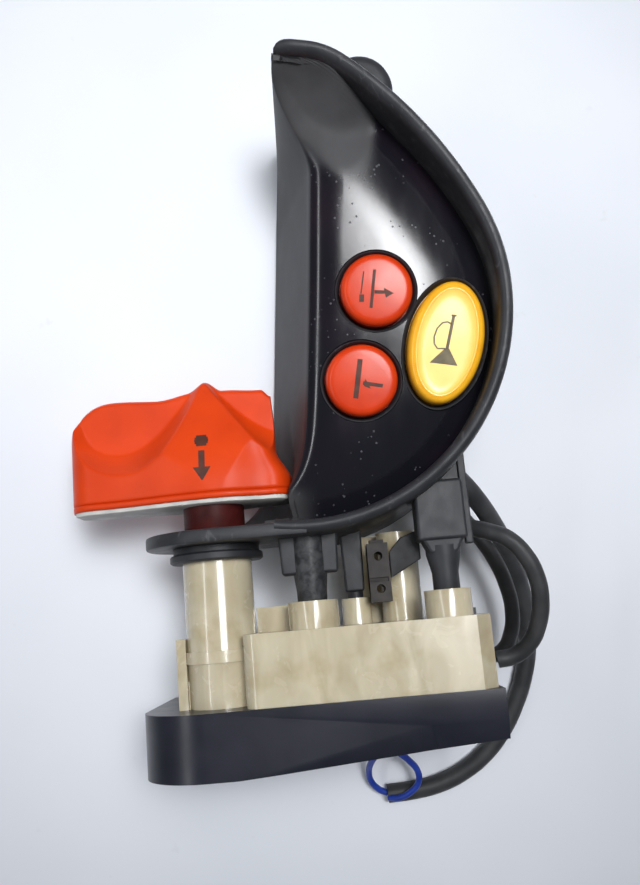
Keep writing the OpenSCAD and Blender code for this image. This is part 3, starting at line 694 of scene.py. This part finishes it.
def shaft_block(name, low, high, material, rounding, taper=0.0):
    """A block in the shaft's frame with rounded edges, narrower at its low end by taper."""
    verts = []
    for y in (low[1], high[1]):
        pinch = taper if y == low[1] else 0
        left, right = low[0] + pinch, high[0] - pinch
        for x, z in ((left, low[2]), (right, low[2]), (right, high[2]), (left, high[2])):
            verts.append(shaft_point(x, y, z))
    faces = [(0, 1, 2, 3), (4, 5, 6, 7), (0, 1, 5, 4), (1, 2, 6, 5), (2, 3, 7, 6), (3, 0, 4, 7)]
    obj = rounded(add_mesh(name, verts, faces, material, "control_head"), rounding)
    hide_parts("hood_shell")


def shaft_pin(name, at, profile, material):
    obj = lathe(name, profile, lambda a, b, h: shaft_point(at[0] + a, h, at[1] + b), material, "control_head")
    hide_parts("hood_shell")


def make_tab():
    """The round tab under the knob, open for the stem."""
    outline = []
    for i in range(49):
        w = math.radians(mix(90, 270, i / 48))
        outline.append((TAB_RADIUS * math.cos(w), TAB_RADIUS * math.sin(w)))
    outline += [(12, -TAB_RADIUS), (29, -21), (29, 21), (12, TAB_RADIUS)]
    inner = []
    for x, z in outline:
        r = math.hypot(x, z)
        inner.append((TAB_HOLE_RADIUS * x / r, TAB_HOLE_RADIUS * z / r))
    profile = [(TAB_LOW, 0.7), (66.25, 0.2), (66.8, 0), (69.2, 0), (69.75, 0.2), (TAB_HIGH, 0.8)]
    count = len(outline)
    verts = []
    for y, inset in profile:
        for x, z in outline:
            r = math.hypot(x, z)
            verts.append(shaft_point(x - inset * x / r, y, z - inset * z / r))
    for y in (TAB_HIGH, TAB_LOW):
        for x, z in inner:
            verts.append(shaft_point(x, y, z))
    rings = len(profile) + 2
    faces = grid_faces(rings, count, closed=True)
    for k in range(count):
        m = (k + 1) % count
        faces.append(((rings - 1) * count + k, (rings - 1) * count + m, m, k))
    obj = add_mesh("hood_tab", verts, faces, RIM, "control_head")
    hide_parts("hood_shell")


def make_posts():
    shaft_block("left_rib", (19.7, 55, 4), (37.7, 69, 10), HOOD, 0.9, taper=0.6)
    shaft_pin("left_pin", (28.7, 7), [(4.1, 41), (4.5, 41.6), (4.5, 50), (5.2, 56), (5.2, 67)], GRIT)
    shaft_block("right_post", (61.4, 61.5, 3), (76.4, 79.5, 13), HOOD, 1.1)
    shaft_block("right_post_root", (66, 78, 3), (76.4, 86, 8), HOOD, 0.5)
    shaft_block("right_shoulder", (62.4, 57.4, 3.6), (75.4, 62.4, 12.4), HOOD, 1.2, taper=2.4)
    shaft_block("right_fin", (76, 60, 6), (78.4, 88, 9), HOOD, 0.5)
    shaft_pin("right_pin", (68.9, 8), [(3.6, 41), (4, 41.6), (4, 52), (5.2, 57.5), (5.2, 60)], HOOD)
    shaft_block("rear_post", (38.5, 49, -14), (45.5, 69, -6), HOOD, 0.8, taper=0.5)
    shaft_pin("rear_pin", (42, -10), [(2.2, 41), (2.5, 41.5), (2.5, 51)], HOOD)
    lug = lathe("hood_lug", [(9.9, 24), (10.5, 24.8), (10.5, 41.4), (10.1, 42.8), (9.1, 43.7), (7.5, 44)],
                lambda a, b, h: floor_point(56.3 + a, 201.5 + b, h), HOOD, "control_head")
    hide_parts("hood_shell")


make_rim()
make_face()
make_tab()
make_posts()


# ---- Buttons ----

def bezel(name, place, squeeze):
    """A dark ring sunk into the face round a cap."""
    profile = [(1.62, 44.8), (1.62, 49.9), (1.5, 50.1), (1.1, 49.9), (0.75, 49.2), (0.3, 48.2), (0.22, 47),
               (0.22, 44.8)]
    steps = 96
    verts = []
    for grow, height in profile:
        a, b = squeeze(grow)
        verts += [place(a * math.cos(w), b * math.sin(w), height)
                  for w in (2 * math.pi * k / steps for k in range(steps))]
    faces = grid_faces(len(profile), steps, closed=True)
    last = (len(profile) - 1) * steps
    faces += [(k, (k + 1) % steps, last + (k + 1) % steps, last + k) for k in range(steps)]
    obj = add_mesh(name + "_ring", verts, faces, RIM, "control_head")
    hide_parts(name)


def cap_height(inside):
    """Height of a round cap at a distance inside its edge."""
    if inside > 2.2:
        return 54.1 + 0.4 * min(1, (inside - 2.2) / 8.5) ** 0.7
    return 51.6 + 2.5 * math.sqrt(max(0, 1 - (1 - inside / 2.2) ** 2.2))


def round_cap(name, place):
    inside = [CAP_RADIUS, 9, 7.2, 5.4, 4, 3, 2.4, 1.9, 1.4, 0.95, 0.55, 0.25, 0.06, 0]
    profile = [(CAP_RADIUS - d, cap_height(d)) for d in inside]
    profile += [(CAP_RADIUS, 48), (CAP_RADIUS, 46), (11.8, 46), (11.8, 44.7), (2.5, 44.7), (2.5, 36.1)]
    obj = lathe(name + "_dome", profile, place, CAP_RED, name.replace("_cap", "_button"), sharp=50)
    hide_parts(name)


def oval_height(inside):
    """Height of the oval cap: a rounded edge, a low crest, then a slightly sunk middle."""
    if inside < 2:
        return 51.4 + 2.9 * math.sqrt(max(0, 1 - (1 - inside / 2) ** 2.2))
    return 54.3 + 0.2 * math.exp(-((inside - 2.4) / 0.6) ** 2) - 0.25 * smooth(2.6, 5, inside)


def horn_cap():
    inside = [11.1, 9, 7, 5.4, 4.4, 3.7, 3.2, 2.8, 2.5, 2.2, 1.9, 1.5, 1.05, 0.6, 0.25, 0.06, 0]
    steps = 120
    verts, rim = [], []
    levels = [(d, oval_height(d)) for d in inside] + [(0, 46), (-1, 46), (-1, 44.7)]
    for d, height in levels:
        a, b = horn_radii(-d)
        for k in range(steps):
            w = 2 * math.pi * k / steps
            verts.append(horn_place(a * math.cos(w), b * math.sin(w), height))
            # Mask for the painted shade on the rounded edge, where the deeper amber goes.
            rim.append(1 - smooth(2.0, 3.4, d))
    faces = grid_faces(len(levels), steps, closed=True)
    faces.append(tuple(range(steps)))
    last = (len(levels) - 1) * steps
    faces.append(tuple(range(last, last + steps)))
    mesh = bpy.data.meshes.new("horn_cap_dome")
    mesh.from_pydata(verts, [], faces)
    mesh.attributes.new("rim", "FLOAT", "POINT").data.foreach_set("value", rim)
    mesh.materials.append(YELLOW)
    mesh.shade_smooth()
    mesh.set_sharp_from_angle(angle=math.radians(60))
    work = bmesh.new()
    work.from_mesh(mesh)
    bmesh.ops.recalc_face_normals(work, faces=work.faces)
    work.to_mesh(mesh)
    work.free()
    obj = new_object("horn_cap_dome", mesh)
    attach(obj, "horn_button")
    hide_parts("horn_cap")


def mark(name, strokes, place, material, body):
    """Flat printed marks: each stroke is a four-cornered patch laid on a surface."""
    n = 8
    verts, faces = [], []
    for corners in strokes:
        a, b, c, d = (Vector(p) for p in corners)
        start = len(verts)
        for i in range(n + 1):
            for k in range(n + 1):
                u, v = i / n, k / n
                p = (a * (1 - u) + b * u) * (1 - v) + (d * (1 - u) + c * u) * v
                verts.append(place(p.x, p.y))
        for i in range(n):
            for k in range(n):
                q = start + i * (n + 1) + k
                faces.append((q, q + 1, q + n + 2, q + n + 1))
    mesh = bpy.data.meshes.new(name)
    mesh.from_pydata(verts, [], faces)
    mesh.materials.append(material)
    obj = new_object(name, mesh)
    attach(obj, body)
    thick = obj.modifiers.new("ink", "SOLIDIFY")
    thick.thickness = INK_THICKNESS / 1000
    thick.offset = 0


def stroke(x0, y0, x1, y1, width):
    """A straight stroke between two points."""
    start, end = Vector((x0, y0)), Vector((x1, y1))
    off = (end - start).normalized().orthogonal() * (width / 2)
    return [tuple(p) for p in (start + off, end + off, end - off, start - off)]


def cap_mark(name, cap_place, strokes):
    """Printed strokes on a round cap."""
    def place(x, y):
        return cap_place(x, y, cap_height(CAP_RADIUS - math.hypot(x, y)) + MARK_LIFT)

    mark(name, strokes, place, PRINT, name.replace("_mark", "_button"))


def horn_mark():
    """A trumpet horn: bell at the bottom, tube and curl above."""
    strokes = [[(-3.9, -6.9), (4.4, -6.3), (1.0, -1.8), (-0.2, -1.9)], stroke(0.4, -2, 0.5, 8, 0.9)]
    strokes.append(stroke(-0.2, 8, 1.3, 8.1, 0.5))
    curl = [(0.4, 5.4), (-0.9, 5.9), (-2.4, 5.3), (-3.6, 3.4), (-4, 0.8), (-3.6, -1.2), (-2.4, -2.4),
            (-0.2, -2)]
    strokes += [stroke(*p, *q, 0.45) for p, q in zip(curl, curl[1:])]

    def place(x, y):
        narrow, wide = HORN_RADII
        inside = wide - math.hypot(x * wide / narrow, y)
        return horn_place(x, y, oval_height(max(2.8, inside)) + MARK_LIFT)

    mark("horn_mark", strokes, place, HORN_PRINT, "horn_button")


def round_radii(grow):
    return CAP_RADIUS + grow, CAP_RADIUS + grow


bezel("lift_bezel", lift_place, round_radii)
bezel("lower_bezel", lower_place, round_radii)
bezel("horn_bezel", horn_place, horn_radii)
round_cap("lift_cap", lift_place)
round_cap("lower_cap", lower_place)
horn_cap()
cap_mark("lift_mark", lift_place, [
    stroke(-0.2, 5.8, -2.2, -5.4, 0.9), stroke(-3.4, 5.6, -4.8, -1, 0.4), stroke(-4.6, -1.2, -4.8, -3.4, 1.4),
    stroke(-0.8, -0.8, 3, -1.2, 1), [(2, 0.2), (4.8, -1.6), (4.8, -1.6), (2.4, -2.8)]])
cap_mark("lower_mark", lower_place, [
    stroke(0, 6.2, -2.3, -5.2, 1.5), stroke(0.2, -0.9, 6, -2.2, 1.1),
    [(1, 0.4), (2.4, -2.8), (2.4, -2.8), (0.4, -1.8)]])
horn_mark()


# ---- Knob ----

KNOB_LEFT = -43.6
KNOB_RIGHT = 25.2
KNOB_FOOT = 79.8
PLATE_FOOT = 78.4


def knob_x(share, inset=0):
    """Across the knob from left to right as share runs from 0 to 1, closer together near its ends."""
    return mix(KNOB_LEFT + inset, KNOB_RIGHT - inset, 0.5 - 0.5 * math.cos(math.pi * share))


def knob_top(x):
    """The knob's upper outline, seen from the front."""
    if x < -29:
        corner = (x + 29) / 14.6
        return 99.5 + 15.4 * math.sqrt(max(0, 1 - abs(corner) ** 2.5))
    if x < 0:
        rise = 114.9 - 0.7 * math.sin(math.pi * (x + 29) / 29) ** 2 + 1.3 * smooth(-16, -4, x)
        return rise + 2.7 * smooth(-6, 0, x)
    return 118.9 - 3 * smooth(0, 5, x) - 0.8 * smooth(5, 20, x) - 2.4 * smooth(21, 25.2, x)


def knob_right(y):
    """The knob's right side, flaring at the bottom."""
    return 20.9 + 4.2 * (1 - smooth(85, 95, y)) - 0.5 * smooth(102, 115, y)


def knob_plan(x):
    """Half the knob's depth at its foot."""
    if x < -35.5:
        return 8 * math.sqrt(max(0, 1 - ((x + 35.5) / 8.1) ** 2))
    if x < 19:
        left = 8 + 5.5 * smooth(-35.5, 2, x)
        return left - 3 * smooth(4, 19, x)
    return 10.5 * max(0, 1 - ((x - 19) / 6.2) ** 2.4) ** (1 / 2.4)


def knob_depth(x, y):
    """Half the knob's depth at a point of its front: a cone-like ridge between two scoops."""
    depth = 13.5 * (1 - 0.74 * smooth(82, 123, y) ** 1.1)
    if y > 83.6:
        up = (y - 83.6) / 33
        right = -28.5 + 27 * min(1.2, up) ** 0.55
        left = -30 - 15 * min(1, (y - 83.6) / 16) ** 0.5
        e = (x - (left + right) / 2) / ((right - left) / 2)
        depth -= 9.5 * smooth(0, 0.6, up) ** 0.55 * max(0, 1 - abs(e) ** 2.2)
    if x > 0:
        rim = 85.5 + 31.5 * max(0, 1 - (x - 0.6) / 24.6) ** 1.15
        depth -= 8 * (1 - math.exp(-max(0, y - rim) / 5.5))
    return max(2.6 - 0.4 * smooth(102, 114, y), depth)


def make_knob():
    """The wing knob, front and back skins joined round the outline."""
    columns = 161
    low = [0, 0.25, 0.7, 1.2, 1.6, 1.78, 1.95, 2.12, 2.3, 3.0]
    levels = 72
    front, back = [], []
    for i in range(columns):
        raw = knob_x(i / (columns - 1))
        top = knob_top(raw)
        heights = [KNOB_FOOT + d for d in low]
        for k in range(1, levels + 1):
            heights.append(mix(KNOB_FOOT + low[-1], top, math.sin(math.pi / 2 * k / levels)))
        for y in heights:
            x = raw if raw < 8 else mix(8, knob_right(y), (raw - 8) / (KNOB_RIGHT - 8))
            plan = knob_plan(raw)
            depth = min(plan, knob_depth(x, y) * min(1, plan / 4 + 0.2))
            near_top = max(0, 1 - (top - y) / 1.8)
            depth *= math.sqrt(max(0, 1 - near_top ** 2))
            groove = math.exp(-((y - 81.75) / 0.2) ** 2)
            foot = max(0, 1 - (y - KNOB_FOOT) / 0.7)
            depth = max(0, depth - 0.6 * groove - 0.5 * foot ** 2)
            front.append(shaft_point(x, y, depth))
            back.append(shaft_point(x, y, -depth))
    rows = len(low) + levels
    count = len(front)
    faces = grid_faces(columns, rows)
    faces += [tuple(count + v for v in face) for face in faces]
    for i in range(columns - 1):
        faces.append((i * rows, (i + 1) * rows, count + (i + 1) * rows, count + i * rows))
    obj = add_mesh("wing_knob_body", front + back, faces, RED, "knob_rotor", sharp=60)
    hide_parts("wing_knob")


def knob_mark():
    """A dot over an arrow that points down the ridge."""
    strokes = [stroke(-1.2, 94.8, -1.2, 89.4, 1.9), [(-3.9, 89.5), (1.5, 89.5), (-1.0, 85.4), (-1.4, 85.4)]]
    for k in range(5):
        y = -1.8 + 0.72 * k
        half = math.sqrt(2.15 ** 2 - (y + 0.36) ** 2)
        low, high = 98.1 + y, 98.82 + y
        strokes.append([(-1.2 - half, low), (-1.2 + half, low), (-1.2 + half, high), (-1.2 - half, high)])

    def place(x, y):
        return shaft_point(x, y, min(knob_plan(x), knob_depth(x, y)) + 0.04)

    mark("knob_mark", strokes, place, PRINT, "knob_rotor")


def knob_plate():
    """The pale plate under the knob, following its outline."""
    steps = 96
    sections = []
    for y, inset in ((PLATE_FOOT, 1.9), (PLATE_FOOT + 0.3, 1.3), (KNOB_FOOT, 1.2)):
        section = []
        for i in range(steps + 1):
            x = knob_x(i / steps, inset)
            section.append(shaft_point(x, y, max(0, knob_plan(x) - inset)))
        for i in range(steps - 1, 0, -1):
            x = knob_x(i / steps, inset)
            section.append(shaft_point(x, y, -max(0, knob_plan(x) - inset)))
        sections.append(section)
    obj = sweep("knob_underplate_body", sections, PALE, "knob_rotor")
    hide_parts("knob_underplate")


def at_shaft(a, b, h):
    return shaft_point(a, h, b)


make_knob()
knob_mark()
knob_plate()
stem_profile = [(8.6, 62.8), (9.4, 63.4), (9.4, 70.6), (9.15, 71), (9.15, 71.5), (9.4, 71.9), (9.4, 79.7)]
stem = lathe("knob_stem_body", stem_profile, at_shaft, STEM, "knob_rotor")
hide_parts("knob_stem")

collar_profile = [(10.2, 61.4), (13.6, 61.4), (14.3, 61.9), (14.3, 63.5), (13.9, 63.9), (13.2, 64.2),
                  (13.2, 65.9), (10.2, 65.9)]
collar = lathe("shaft_collar_body", collar_profile, at_shaft, HOOD, "control_head")
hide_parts("shaft_collar")


# ---- Housing, base and small parts ----

moulded("mech_housing", 0.5)
moulded("base_shell", 0.8)
moulded("housing_back_cover", 0.5)
moulded("hood_back_cover", 0.5)
moulded("direction_switch", 0.3)
moulded("switch_ribbon", 0.4)
moulded("side_strip", 0.4)
moulded("cable_clip", 0.4)
moulded("wire_socket", 0.5)
moulded("lead_grommet", 0.3)
moulded("strand_grommet", 0.3)


def cap_spring(node):
    """A copy of a cap's spring, which stands in for it."""
    obj = new_object(node + "_coil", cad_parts[node].data.copy())
    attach(obj, "control_head")
    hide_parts(node)
    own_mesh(obj)


cap_spring("lift_spring")
cap_spring("lower_spring")
cap_spring("horn_spring")


# ---- Table and light ----

def make_table():
    """White paper with faint blotches."""
    material, tree, shader = new_material("table_paper")
    tone = ramp(tree, noise(tree, 130, detail=3), [(0.35, (0.7, 0.73, 0.78)), (0.65, (0.76, 0.78, 0.83))])
    marks = ramp(tree, noise(tree, 10, detail=5), [(0.7, (1, 1, 1)), (0.82, (0.9, 0.89, 0.86))])
    tree.links.new(blend(tree, "MULTIPLY", 1.0, tone, marks), shader.inputs["Base Color"])
    shader.inputs["Roughness"].default_value = 0.85
    bump(tree, shader, noise(tree, 1.2, detail=3), 0.2, 0.02)
    mesh = bpy.data.meshes.new("table")
    size = 1.5
    corners = [(-size, -size, 0), (size, -size, 0), (size, size, 0), (-size, size, 0)]
    mesh.from_pydata(corners, [], [(0, 1, 2, 3)])
    mesh.materials.append(material)
    new_object("table", mesh)


def area_light(name, location, target, size, power, colour, spread=180, glossy=True):
    data = bpy.data.lights.new(name, "AREA")
    data.shape = "RECTANGLE"
    data.size, data.size_y = size
    data.energy = power
    data.spread = math.radians(spread)
    data.color = colour
    obj = new_object(name, data)
    obj.location = location
    obj.rotation_euler = (Vector(target) - Vector(location)).to_track_quat("-Z", "Y").to_euler()
    obj.visible_glossy = glossy


make_table()
area_light("key", (0.12, 0.42, 0.95), (-0.04, 0.08, 0), (0.5, 0.5), 0.52, (0.97, 0.985, 1), spread=34,
           glossy=False)
area_light("window", (0.27, 0.31, 1.1), (0.04, 0.06, 0.05), (0.4, 0.3), 0.34, (0.97, 0.98, 1), spread=30)
area_light("left_strip", (-0.62, 0.1, 0.75), (0, 0, 0), (1.0, 0.06), 0.5, (0.95, 0.97, 1), spread=90)
world = bpy.data.worlds.new("studio")
world.use_nodes = True
world.node_tree.nodes["Background"].inputs["Color"].default_value = (0.9, 0.93, 1, 1)
world.node_tree.nodes["Background"].inputs["Strength"].default_value = 0.17
bpy.context.scene.world = world
bpy.context.scene.view_settings.view_transform = "Standard"
